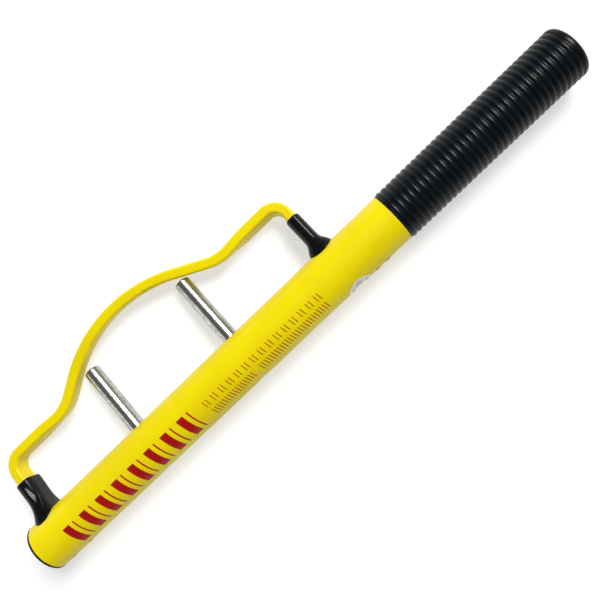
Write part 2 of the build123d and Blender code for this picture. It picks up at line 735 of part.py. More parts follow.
def make_lock_body():
    """The housing of the lock, with its face flush with the round of the tube."""
    body = rod_y(LOCK_BODY_D / 2, -TUBE_R - 1, LOCK_INNER, LOCK_X)
    body &= rod_x(TUBE_R - LOCK_FLUSH, LOCK_X - LOCK_BODY_D, LOCK_X + LOCK_BODY_D)
    back = LOCK_INNER - LOCK_BACK_WALL
    body -= rod_y(LOCK_PLUG_D / 2 + SLIDE_FIT, -TUBE_OD, back, LOCK_X)
    body -= rod_y(CAM_SHAFT_D / 2 + SLIDE_FIT, back - 1, LOCK_INNER + 1, LOCK_X)
    dimple_end = LOCK_X - LOCK_BODY_D / 2 + GRUB_BITE + SLIDE_FIT
    body -= rod_x(GRUB_D / 2 - 1 + PRESS_FIT, LOCK_X - LOCK_BODY_D, dimple_end, grub_y())
    return body


def make_lock_grub_screw():
    """The dog-point screw in the carrier that keeps the lock body in place."""
    flank = LOCK_X - LOCK_BODY_D / 2 - SLIDE_FIT
    screw = rod_x(GRUB_D / 2, CARRIER_START + FREE_GAP, flank - 0.4, grub_y())
    screw += rod_x(GRUB_D / 2 - 1, flank - 0.5, flank + GRUB_BITE, grub_y())
    start = CARRIER_START + FREE_GAP
    return screw - block(start - 1, start + 1.2, grub_y() - 5, grub_y() + 5, -0.4, 0.4)


def keyway(y0, y1):
    """The key's slot, cut along Y."""
    half_w, half_h = KEYWAY_WIDTH / 2, KEYWAY_HEIGHT / 2
    return block(LOCK_X - half_h, LOCK_X + half_h, y0, y1, -half_w, half_w)


def disc_room():
    """The start, the end and the radius of the room for the discs inside the plug."""
    return PLUG_OUTER_Y + PLUG_FACE, PLUG_INNER_Y - PLUG_SHELL, LOCK_PLUG_D / 2 - PLUG_SHELL


def make_lock_plug():
    """The turning plug: a shell with the key's slot in its face and room for the discs."""
    y0, y1, room_r = disc_room()
    plug = rod_y(LOCK_PLUG_D / 2, PLUG_OUTER_Y, PLUG_INNER_Y, LOCK_X)
    rim = plug.edges().filter_by(GeomType.CIRCLE).sort_by(Axis.Y)[0]
    plug = chamfer(rim, 0.6)
    plug -= rod_y(room_r, y0, y1, LOCK_X)
    plug -= keyway(PLUG_OUTER_Y - 1, y0 + 0.5)
    plug -= rod_y(CAM_SHAFT_D / 2 - 1 + PRESS_FIT, y1 - 1, PLUG_INNER_Y + 1, LOCK_X)
    bar_z = LOCK_PLUG_D / 2 - SIDE_BAR_D / 2
    bar_r = SIDE_BAR_D / 2 + SLIDE_FIT
    plug -= rod_y(bar_r, y0, y1, LOCK_X, bar_z)
    return plug - block(LOCK_X - bar_r, LOCK_X + bar_r, y0, y1, bar_z, LOCK_PLUG_D)


def make_detainer_discs():
    """The slotted discs that the key turns into line."""
    y0, y1, room_r = disc_room()
    pitch = (y1 - y0) / DISC_COUNT
    discs = []
    for i in range(DISC_COUNT):
        start = y0 + i * pitch + DISC_GAP / 2
        end = start + pitch - DISC_GAP
        disc = rod_y(room_r - SLIDE_FIT, start, end, LOCK_X) - keyway(start - 1, end + 1)
        gate_z = LOCK_PLUG_D / 2 - SIDE_BAR_D / 2
        discs.append(disc - rod_y(SIDE_BAR_D / 2 + RUNNING_GAP, start, end, LOCK_X, gate_z))
    return Compound(children=discs)


def make_side_bar():
    """The side bar that rides on the discs, in the slot of the plug."""
    y0, y1, _ = disc_room()
    z = LOCK_PLUG_D / 2 - SIDE_BAR_D / 2
    return rod_y(SIDE_BAR_D / 2, y0 + RUNNING_GAP, y1 - RUNNING_GAP, LOCK_X, z)


def make_lock_cam():
    """The cam on the plug's inner end: a disc with an off-centre pin that moves the bolt."""
    cam = rod_y(CAM_D / 2, CAM_BOTTOM, CAM_TOP, LOCK_X)
    cam += rod_y(CAM_SHAFT_D / 2, PLUG_INNER_Y, CAM_BOTTOM, LOCK_X)
    cam += rod_y(CAM_SHAFT_D / 2 - 1, PLUG_INNER_Y - PLUG_SHELL + 0.2, PLUG_INNER_Y, LOCK_X)
    cam += rod_y(
        CAM_PIN_D / 2,
        CAM_TOP,
        PLATE_TOP - SLIDE_FIT,
        LOCK_X + CAM_PIN_OFFSET,
        -CAM_PIN_OFFSET,
    )
    return cam - cam_screw_blank(PRESS_FIT)


def cam_screw_blank(extra):
    """The cam's screw without its slot, grown by extra."""
    head = rod_y(CAM_SCREW_HEAD_D / 2 + extra, CAM_TOP - 1.6 - extra, CAM_TOP, LOCK_X)
    shank_end = CAM_TOP - CAM_SCREW_LENGTH
    return head + rod_y(CAM_SCREW_D / 2 + extra, shank_end, CAM_TOP - 1.6, LOCK_X)


def make_cam_screw():
    """The small screw in the middle of the cam."""
    slot = block(LOCK_X - 5, LOCK_X + 5, CAM_TOP - 0.7, CAM_TOP + 1, -0.3, 0.3)
    return cam_screw_blank(0) - slot


# ---- assembly ----------------------------------------------------------------------------------


def make_pieces():
    """Every piece in the working frame, by node name."""
    pieces = {
        "main_tube": make_main_tube(),
        "tube_end_cap": make_tube_end_cap(),
        "handle_tube": make_handle_tube(),
        "handle_end_plug": make_handle_end_plug(),
        "hand_grip": make_hand_grip(),
        "hinge_block": make_hinge_block(),
        "hinge_pin": make_hinge_pin(),
        "hinge_washers": make_hinge_washers(),
        "hinge_block_screws": make_set_screws(HINGE_SCREW_STATIONS),
        "hinge_boot": make_hinge_boot(),
        "latch_carrier": make_latch_carrier(),
        "carrier_end_plate": make_carrier_end_plate(),
        "end_plate_screws": make_end_plate_screws(),
        "carrier_screws": make_set_screws(carrier_screw_stations()),
        "latch_spring": make_latch_spring(),
        "lock_body": make_lock_body(),
        "lock_grub_screw": make_lock_grub_screw(),
        "lock_plug": make_lock_plug(),
        "detainer_discs": make_detainer_discs(),
        "side_bar": make_side_bar(),
        "lock_cam": make_lock_cam(),
        "cam_screw": make_cam_screw(),
        "latch_bolt": make_latch_bolt(),
        "hoop_bar": make_hoop_bar(),
        "hinge_knuckle": make_hinge_knuckle(),
        "latch_sleeve": make_latch_sleeve(),
    }
    for name, x in PIN_STATIONS.items():
        pieces[f"wheel_pin_{name}"] = make_wheel_pin(x)
        pieces[f"pin_bush_{name}"] = make_pin_bush(x)
    return pieces


def rest_placement(pieces):
    """The move that lays the lock on the table with the middle of its footprint at the origin."""
    tilt = Rot(-REST_TILT, 0, 0)
    box = (tilt * pieces["hoop_bar"]).bounding_box()
    side_low, side_high = -GRIP_R, box.max.Y
    return Pos(-OVERALL / 2, -(side_low + side_high) / 2, GRIP_R) * tilt


def main():
    os.makedirs("parts", exist_ok=True)
    pieces = make_pieces()
    place = rest_placement(pieces)
    for name, shape in pieces.items():
        export_step(place * shape, f"parts/{name}.step")
    print(f"pieces {len(pieces)}, rest tilt {REST_TILT:.4f} degrees")
    for label, point in (
        ("hinge", (HINGE_X, HINGE_Y, 0)),
        ("lock", (LOCK_X, PLUG_OUTER_Y, 0)),
        ("bolt", (NOSE_X, (NOSE_TOP + NOSE_BOTTOM) / 2, 0)),
    ):
        x, y, z = (place * Pos(*point)).position
        print(f"{label} at ({x:.4f}, {y:.4f}, {z:.4f})")


main()
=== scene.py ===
"""Looks of the steering wheel lock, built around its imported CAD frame.

The lock is a yellow powder-coated tube with a ribbed black grip, a hinged hoop, two bright pins,
rubber at both roots of the hoop and a nickel lock face. Sizes in the classes are millimetres in the
lock's own axes: X along the tube from the cap, Y from the tube's axis to the hoop, Z square to the
hoop. Meshes are in metres in the shared frame.
"""

import json
import logging
import math
from dataclasses import dataclass
from enum import Enum
from typing import Any, Mapping, Sequence

import bmesh
import bpy
from mathutils import Matrix, Vector


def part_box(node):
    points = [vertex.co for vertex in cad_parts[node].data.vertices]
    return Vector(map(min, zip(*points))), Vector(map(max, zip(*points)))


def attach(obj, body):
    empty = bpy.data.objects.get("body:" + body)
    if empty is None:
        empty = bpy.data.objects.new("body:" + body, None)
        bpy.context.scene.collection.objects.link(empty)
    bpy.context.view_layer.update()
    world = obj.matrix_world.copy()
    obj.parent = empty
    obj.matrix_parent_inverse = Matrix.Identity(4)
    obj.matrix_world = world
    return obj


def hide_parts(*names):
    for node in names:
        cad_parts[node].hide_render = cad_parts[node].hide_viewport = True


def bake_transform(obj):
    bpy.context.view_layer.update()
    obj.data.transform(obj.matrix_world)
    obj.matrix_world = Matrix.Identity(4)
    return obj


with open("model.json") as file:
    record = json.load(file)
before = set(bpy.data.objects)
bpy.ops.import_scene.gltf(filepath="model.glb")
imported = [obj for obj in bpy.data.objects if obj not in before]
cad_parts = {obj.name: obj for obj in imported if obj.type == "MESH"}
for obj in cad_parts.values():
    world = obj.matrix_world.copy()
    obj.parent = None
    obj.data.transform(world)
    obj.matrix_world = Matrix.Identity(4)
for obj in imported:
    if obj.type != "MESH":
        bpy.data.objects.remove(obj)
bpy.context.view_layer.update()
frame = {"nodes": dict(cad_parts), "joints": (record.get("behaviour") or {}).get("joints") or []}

MM = 0.001
LOG = logging.getLogger("wheel_lock")
SRGB_KNEE = 0.04045
NOISE_DETAIL = {"patches": 5.0, "grain": 3.0}
PATCH_EDGES = (0.35, 0.65)
GLOSS_EDGES = (0.3, 0.7)


class Body(Enum):
    """Moving bodies of the frame that new pieces follow."""

    LOCK_FRAME = "lock_frame"
    HOOP = "hoop"


# ---- the lock's own axes ---------------------------------------------------------------------


@dataclass(frozen=True)
class LockAxes:
    """Where the lock's own axes stand in the shared frame."""

    matrix: Matrix

    @classmethod
    def from_frame(cls) -> "LockAxes":
        """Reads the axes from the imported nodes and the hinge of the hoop.

        Returns:
            The axes, with their origin on the tube's axis at the cap's outer face.
        """
        low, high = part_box("hand_grip")
        cap_low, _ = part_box("tube_end_cap")
        swing = next(j for j in frame["joints"] if j["name"] == "hoop_swing")
        tilt = math.atan2(swing["axis"][1], swing["axis"][2])
        origin = Vector((cap_low.x, (low.y + high.y) / 2, (low.z + high.z) / 2))
        return cls(Matrix.Translation(origin) @ Matrix.Rotation(-tilt, 4, "X"))

    def point(self, x: float, y: float, z: float) -> Vector:
        """The shared-frame point in metres of a point in the lock's axes, in millimetres."""
        return self.matrix @ (Vector((x, y, z)) * MM)


AXES = LockAxes.from_frame()


# ---- nodes and colours -----------------------------------------------------------------------


def linear(hex_colour: str) -> tuple[float, float, float, float]:
    """Turns an sRGB hex colour to linear.

    Args:
        hex_colour: A colour such as "#F2DC00".

    Returns:
        Red, green, blue and a full alpha.
    """
    parts = [int(hex_colour[i : i + 2], 16) / 255 for i in (1, 3, 5)]
    lin = [p / 12.92 if p <= SRGB_KNEE else ((p + 0.055) / 1.055) ** 2.4 for p in parts]
    return (lin[0], lin[1], lin[2], 1.0)


def per_metre(size_mm: float) -> float:
    """The texture scale that makes a pattern's feature this many millimetres wide."""
    return 1 / (size_mm * MM)


def add_node(
    tree: bpy.types.NodeTree,
    kind: str,
    settings: Mapping[str, Any] | None = None,
    inputs: Mapping[Any, Any] | None = None,
) -> bpy.types.Node:
    """Adds a node with its settings and its links.

    Args:
        tree: The node tree that gets the node.
        kind: The node's type, such as "ShaderNodeMath".
        settings: Attributes of the node.
        inputs: Socket name or number to a value, or to the output socket that feeds it.

    Returns:
        The new node.
    """
    node = tree.nodes.new(kind)
    for name, value in (settings or {}).items():
        setattr(node, name, value)
    for name, value in (inputs or {}).items():
        if isinstance(value, bpy.types.NodeSocket):
            tree.links.new(value, node.inputs[name])
        else:
            node.inputs[name].default_value = value
    return node


def lock_coordinates(
    tree: bpy.types.NodeTree, scale: Sequence[float] = (1, 1, 1)
) -> bpy.types.NodeSocket:
    """Object coordinates turned into the lock's own axes, in metres.

    Args:
        tree: The material's node tree.
        scale: Stretch of the pattern along the lock's X, Y and Z.

    Returns:
        The vector socket.
    """
    coords = add_node(tree, "ShaderNodeTexCoord")
    inverse = AXES.matrix.inverted()
    turned = add_node(
        tree,
        "ShaderNodeMapping",
        {"vector_type": "POINT"},
        {
            "Vector": coords.outputs["Object"],
            "Location": inverse.to_translation(),
            "Rotation": inverse.to_euler(),
        },
    )
    if tuple(scale) == (1, 1, 1):
        return turned.outputs["Vector"]
    stretched = add_node(
        tree, "ShaderNodeMapping", None, {"Vector": turned.outputs["Vector"], "Scale": scale}
    )
    return stretched.outputs["Vector"]


# ---- finishes --------------------------------------------------------------------------------


@dataclass(frozen=True)
class Finish:
    """A finish: one shader, with an uneven colour, an uneven gloss and a fine relief.

    Attributes:
        name: The material's name.
        colour: sRGB hex of the surface.
        shade: sRGB hex of its darker or duller patches.
        roughness: Lowest and highest roughness.
        metallic: 1 for bare metal, 0 for everything else.
        patch_mm: Size of the patches of colour and gloss.
        grain_mm: Size of the relief's grain.
        relief_mm: Height of the relief.
        stretch: Stretch of the grain along the lock's axes, for turned or drawn surfaces.
        specular: Strength of the reflection of what isn't metal.
    """

    name: str
    colour: str
    shade: str
    roughness: tuple[float, float]
    metallic: float = 0.0
    patch_mm: float = 20.0
    grain_mm: float = 0.8
    relief_mm: float = 0.01
    stretch: tuple[float, float, float] = (1, 1, 1)
    specular: float = 0.5

    def base_colour(
        self, tree: bpy.types.NodeTree, patches: bpy.types.NodeSocket
    ) -> bpy.types.NodeSocket:
        """The colour with its soft patches.

        Args:
            tree: The material's node tree.
            patches: Noise from 0 to 1.

        Returns:
            The colour socket.
        """
        mix = add_node(
            tree,
            "ShaderNodeMix",
            {"data_type": "RGBA"},
            {"Factor": patches, 6: linear(self.colour), 7: linear(self.shade)},
        )
        return mix.outputs[2]

    def make(self) -> bpy.types.Material:
        """Builds the material.

        Returns:
            The material, ready to assign.
        """
        material = bpy.data.materials.new(self.name)
        material.use_nodes = True
        tree = material.node_tree
        tree.nodes.clear()
        noise = add_node(
            tree,
            "ShaderNodeTexNoise",
            None,
            {
                "Vector": lock_coordinates(tree),
                "Scale": per_metre(self.patch_mm),
                "Detail": NOISE_DETAIL["patches"],
                "Roughness": 0.6,
            },
        )
        patches = add_node(
            tree,
            "ShaderNodeMapRange",
            {"interpolation_type": "SMOOTHSTEP"},
            {
                "Value": noise.outputs["Fac"],
                "From Min": PATCH_EDGES[0],
                "From Max": PATCH_EDGES[1],
            },
        )
        gloss = add_node(
            tree,
            "ShaderNodeMapRange",
            None,
            {
                "Value": noise.outputs["Fac"],
                "From Min": GLOSS_EDGES[0],
                "From Max": GLOSS_EDGES[1],
                "To Min": self.roughness[0],
                "To Max": self.roughness[1],
            },
        )
        grain = add_node(
            tree,
            "ShaderNodeTexNoise",
            None,
            {
                "Vector": lock_coordinates(tree, self.stretch),
                "Scale": per_metre(self.grain_mm),
                "Detail": NOISE_DETAIL["grain"],
            },
        )
        relief = add_node(
            tree,
            "ShaderNodeBump",
            None,
            {
                "Strength": 1.0,
                "Distance": self.relief_mm * MM,
                "Height": grain.outputs["Fac"],
            },
        )
        shader = add_node(
            tree,
            "ShaderNodeBsdfPrincipled",
            None,
            {
                "Base Color": self.base_colour(tree, patches.outputs["Result"]),
                "Roughness": gloss.outputs["Result"],
                "Metallic": self.metallic,
                "Normal": relief.outputs["Normal"],
                "Specular IOR Level": self.specular,
            },
        )
        add_node(tree, "ShaderNodeOutputMaterial", None, {"Surface": shader.outputs["BSDF"]})
        return material


@dataclass(frozen=True)
class PrintRow:
    """A row of slanted strokes that repeats along the tube. Sizes are millimetres.

    Attributes:
        start: Where the row starts along the tube.
        pitch: Step from one group of strokes to the next.
        groups: Number of groups.
        top: The row's upper edge, measured round the tube from its top line, away from the hoop.
        bottom: Its lower edge, measured the same way.
        strokes: Place and width of each stroke in a group.
        lean: How far a stroke leans along the tube for each millimetre round it.
    """

    start: float
    pitch: float
    groups: int
    top: float
    bottom: float
    strokes: tuple[tuple[float, float], ...]
    lean: float


@dataclass(frozen=True)
class PrintedCoat(Finish):
    """The tube's coat, with a screen-printed band of slanted bars and two rows of ticks.

    Attributes:
        ink: sRGB hex of the print.
        tube_r: Radius that the print lies on, in millimetres.
        feather: Half width of the ink's soft edge, in millimetres.
        rows: The rows of the print.
    """

    ink: str = "#A30B0D"
    tube_r: float = 24.15
    feather: float = 0.18
    rows: tuple[PrintRow, ...] = ()

    def _math(
        self, tree: bpy.types.NodeTree, operation: str, first: Any, second: Any = 0.0
    ) -> bpy.types.NodeSocket:
        """One step of arithmetic on two sockets or numbers."""
        settings = {"operation": operation}
        return add_node(tree, "ShaderNodeMath", settings, {0: first, 1: second}).outputs[0]

    def _within(
        self, tree: bpy.types.NodeTree, place: bpy.types.NodeSocket, low: float, high: float
    ) -> bpy.types.NodeSocket:
        """A mask that is 1 between two places and 0 outside them.

        Args:
            tree: The material's node tree.
            place: The place that is tested, in millimetres.
            low: Start of the band.
            high: End of the band.

        Returns:
            The mask's socket, with a soft edge.
        """
        middle, half = (low + high) / 2, (high - low) / 2
        offset = self._math(tree, "SUBTRACT", place, middle)
        away = self._math(tree, "ABSOLUTE", offset)
        mask = add_node(
            tree,
            "ShaderNodeMapRange",
            None,
            {"Value": away, "From Min": half + self.feather, "From Max": half - self.feather},
        )
        return mask.outputs["Result"]

    def _row_mask(
        self,
        tree: bpy.types.NodeTree,
        row: PrintRow,
        along: bpy.types.NodeSocket,
        around: bpy.types.NodeSocket,
    ) -> bpy.types.NodeSocket:
        """The mask of one row.

        Args:
            tree: The material's node tree.
            row: The row.
            along: Millimetres along the tube.
            around: Millimetres round the tube from its top line.

        Returns:
            The mask's socket.
        """
        slant = self._math(tree, "MULTIPLY", around, row.lean)
        upright = self._math(tree, "ADD", along, slant)
        run = self._math(tree, "SUBTRACT", upright, row.start)
        cell = self._math(tree, "FLOORED_MODULO", run, row.pitch)
        strokes = None
        for place, width in row.strokes:
            stroke = self._within(tree, cell, place, place + width)
            strokes = stroke if strokes is None else self._math(tree, "MAXIMUM", strokes, stroke)
        ends = self._within(tree, upright, row.start, row.start + row.pitch * row.groups)
        height = self._within(tree, around, row.top, row.bottom)
        return self._math(
            tree, "MULTIPLY", strokes, self._math(tree, "MULTIPLY", ends, height)
        )

    def base_colour(
        self, tree: bpy.types.NodeTree, patches: bpy.types.NodeSocket
    ) -> bpy.types.NodeSocket:
        """The coat's colour with the ink on it.

        Args:
            tree: The material's node tree.
            patches: Noise from 0 to 1.

        Returns:
            The colour socket.
        """
        coat = super().base_colour(tree, patches)
        place = add_node(tree, "ShaderNodeSeparateXYZ", None, {0: lock_coordinates(tree)})
        x, y, z = place.outputs
        along = self._math(tree, "MULTIPLY", x, 1 / MM)
        down = self._math(tree, "MULTIPLY", y, -1.0)
        angle = self._math(tree, "ARCTAN2", down, z)
        around = self._math(tree, "MULTIPLY", angle, self.tube_r)
        ink = None
        for row in self.rows:
            mask = self._row_mask(tree, row, along, around)
            ink = mask if ink is None else self._math(tree, "MAXIMUM", ink, mask)
        printed = add_node(
            tree,
            "ShaderNodeMix",
            {"data_type": "RGBA"},
            {"Factor": ink, 6: coat, 7: linear(self.ink)},
        )
        return printed.outputs[2]


# Polyester powder coat, sprayed dry and baked: an even satin yellow with a faint orange peel, so
# highlights are broad and their edges are soft.
POWDER_COAT = Finish(
    "yellow_powder_coat", "#ECD800", "#E6D000", (0.3, 0.4), 0, 70, 1.6, 0.012, specular=0.22
)
# The same coat, screen-printed in one dark red: the ink is flat, thin and sharp at its edges.
PRINTED_COAT = PrintedCoat(
    "printed_powder_coat",
    "#ECD800",
    "#E6D000",
    (0.3, 0.4),
    0,
    70,
    1.6,
    0.012,
    specular=0.22,
    rows=(
        PrintRow(36.0, 20.9, 8, 2.4, 27.3, ((0.2, 8.0), (12.4, 1.6)), -0.14),
        PrintRow(211.0, 9.7, 15, 5.6, 12.9, ((0.3, 0.9), (3.9, 0.9)), -0.14),
        PrintRow(211.0, 6.4, 8, 16.6, 25.4, ((0.3, 0.9), (3.4, 0.9)), -0.14),
        PrintRow(269.0, 6.4, 13, 16.6, 25.4, ((0.3, 0.9), (3.4, 0.9)), -0.14),
    ),
)
# Dipped plasticised vinyl: a deep blue-black with a waxy sheen, brightest on the crown of each rib.
RIBBED_VINYL = Finish(
    "dipped_ribbed_vinyl", "#070C0F", "#0C1216", (0.26, 0.34), 0, 9, 0.9, 0.02, specular=0.15
)
# Compression-moulded rubber: black, with a slightly wet shine in flats and a fine mould texture.
SLEEVE_RUBBER = Finish(
    "moulded_black_rubber", "#06090A", "#0A0D0D", (0.2, 0.29), 0, 6, 1.1, 0.02, specular=0.2
)
# Injection-moulded nylon: a duller, flatter black than the rubber, from its spark-eroded mould.
NYLON = Finish(
    "moulded_black_nylon", "#08090A", "#0E0F10", (0.4, 0.55), 0, 7, 0.6, 0.02, specular=0.25
)
# Cold-drawn and polished steel bar: a soft mirror, streaked along the pin by the die.
DRAWN_STEEL = Finish(
    "drawn_steel", "#C6C5C2", "#ABAAA6", (0.17, 0.27), 1, 5, 0.6, 0.003, stretch=(1, 0.03, 1)
)
# Turned and sawn mild steel, left bare inside the tube: grey and dull, with fine tool lines.
BARE_STEEL = Finish(
    "turned_steel", "#A9A7A3", "#8F8D89", (0.25, 0.4), 1, 12, 0.4, 0.004, stretch=(3, 0.2, 0.2)
)
# Through-hardened steel: darker than mild steel, browned a little by the heat, and ground.
HARD_STEEL = Finish(
    "hardened_steel", "#77767A", "#5C5A5A", (0.28, 0.42), 1, 5, 0.4, 0.004, stretch=(1, 1, 4)
)
# Patented music wire: bright and smooth from the die, with tight highlights on each coil.
SPRING_WIRE = Finish("drawn_spring_wire", "#B4B3B0", "#9A9894", (0.2, 0.35), 1, 4, 0.3, 0.003)
# Nickel plate on die-cast zinc: a warm pale grey, satin, brighter where keys have rubbed it.
NICKEL = Finish("satin_nickel_plate", "#C9C6C0", "#B2AEA6", (0.16, 0.3), 1, 3, 0.3, 0.003)
# Stamped brass sheet: yellow, dulled by handling, with a grain from the rolling.
BRASS = Finish("stamped_brass", "#C9A15A", "#A98343", (0.22, 0.4), 1, 3, 0.4, 0.004)
# Sintered bronze, full of oil: brown and matt, with open pores between its grains.
BRONZE = Finish("sintered_bronze", "#A57A4B", "#7F5A34", (0.4, 0.6), 1, 1.5, 0.15, 0.02)
# Bright zinc plate on screws: cold blue-grey, with a thin uneven shine.
ZINC = Finish("bright_zinc_plate", "#C4C8CE", "#AEB3BB", (0.2, 0.35), 1, 3, 0.3, 0.003)
# Black oxide on hardened screws: nearly black, oily, with the steel's sheen under it.
BLACK_OXIDE = Finish("black_oxide", "#1A1B1D", "#26272A", (0.35, 0.5), 1, 2, 0.3, 0.004)


class Workshop:
    """Makes each finish once and puts it on pieces."""

    def __init__(self) -> None:
        """Starts with no materials made."""
        self._made: dict[str, bpy.types.Material] = {}

    def dress(self, piece: bpy.types.Object, finish: Finish) -> None:
        """Puts a finish on a piece.

        Args:
            piece: A mesh object.
            finish: The finish, made at its first use.
        """
        if finish.name not in self._made:
            self._made[finish.name] = finish.make()
        piece.data.materials.clear()
        piece.data.materials.append(self._made[finish.name])


# ---- sub-assemblies that keep the frame's own shapes -----------------------------------------


@dataclass(frozen=True)
class SubAssembly:
    """A group of pieces that keep the frame's shape and get their finishes.

    Attributes:
        finishes: The finish of each node.
    """

    finishes: Mapping[str, Finish]

    def dress(self, workshop: Workshop) -> None:
        """Puts the finish on each piece and reports it.

        Args:
            workshop: Puts the finishes on.
        """
        for node, finish in self.finishes.items():
            workshop.dress(frame["nodes"][node], finish)
            LOG.info("%s: %s has the finish %s", type(self).__name__, node, finish.name)


class Tube(SubAssembly):
    """The coated tube with its end cap and its two riveted pins."""

    def __init__(self) -> None:
        """Names the finish of each piece of the tube."""
        super().__init__(
            {
                "main_tube": PRINTED_COAT,
                "tube_end_cap": NYLON,
                "wheel_pin_lower": DRAWN_STEEL,
                "wheel_pin_upper": DRAWN_STEEL,
                "pin_bush_lower": BARE_STEEL,
                "pin_bush_upper": BARE_STEEL,
            }
        )


class Handle(SubAssembly):
    """The ribbed grip on its inner tube."""

    def __init__(self) -> None:
        """Names the finish of each piece of the handle."""
        super().__init__(
            {"hand_grip": RIBBED_VINYL, "handle_tube": BARE_STEEL, "handle_end_plug": NYLON}
        )


class Hoop(SubAssembly):
    """The coated hoop and its hinge."""

    def __init__(self) -> None:
        """Names the finish of each piece of the hoop and the hinge."""
        super().__init__(
            {
                "hoop_bar": POWDER_COAT,
                "hinge_knuckle": BARE_STEEL,
                "hinge_block": BARE_STEEL,
                "hinge_pin": HARD_STEEL,
                "hinge_washers": BRONZE,
                "hinge_block_screws": BLACK_OXIDE,
                "hinge_boot": SLEEVE_RUBBER,
                "latch_sleeve": SLEEVE_RUBBER,
            }
        )


class Latch(SubAssembly):
    """The spring bolt and the carrier that holds it in the tube."""

    def __init__(self) -> None:
        """Names the finish of each piece of the latch."""
        super().__init__(
            {
                "latch_bolt": HARD_STEEL,
                "latch_spring": SPRING_WIRE,
                "latch_carrier": BARE_STEEL,
                "carrier_end_plate": BARE_STEEL,
                "end_plate_screws": ZINC,
                "carrier_screws": BLACK_OXIDE,
            }
        )


class KeyLock(SubAssembly):
    """The lock cylinder in the side of the tube, with its plug, discs and cam."""

    def __init__(self) -> None:
        """Names the finish of each piece of the key lock."""
        super().__init__(
            {
                "lock_body": NICKEL,
                "lock_plug": NICKEL,
                "detainer_discs": BRASS,
                "side_bar": HARD_STEEL,
                "lock_cam": HARD_STEEL,
                "cam_screw": ZINC,
                "lock_grub_screw": BLACK_OXIDE,
            }
        )


# ---- moulded rubber --------------------------------------------------------------------------


@dataclass(frozen=True)
class Ring:
    """One ring of a moulded sleeve, square to the leg that it hugs. Sizes are millimetres.

    Attributes:
        height: Distance from the tube's axis.
        width: Size along the tube.
        depth: Size square to the hoop.
        shift: How far its middle lies along the tube from the leg's.
        saddle: How far the ring follows the tube's curve, from 0, flat, to 1.
    """

    height: float
    width: float
    depth: float
    shift: float = 0.0
    saddle: float = 0.0

    def inside(self, wall: float) -> "Ring":
        """The ring of the inner face, one wall further in."""
        return Ring(
            self.height, self.width - 2 * wall, self.depth - 2 * wall, self.shift, self.saddle
        )


@dataclass(frozen=True)
class Slump:
    """A place where the rubber has gone flat. Sizes are millimetres in the lock's axes.

    Attributes:
        place: Its middle, from the leg's middle line: along the tube, height, square.
        facing: The way that it faces.
        reach: How far it reaches.
        sink: How deep it lies under the rubber's plain shape.
        left: How much of the plain shape's bulge is left.
    """

    place: tuple[float, float, float]
    facing: tuple[float, float, float]
    reach: float
    sink: float
    left: float = 0.15


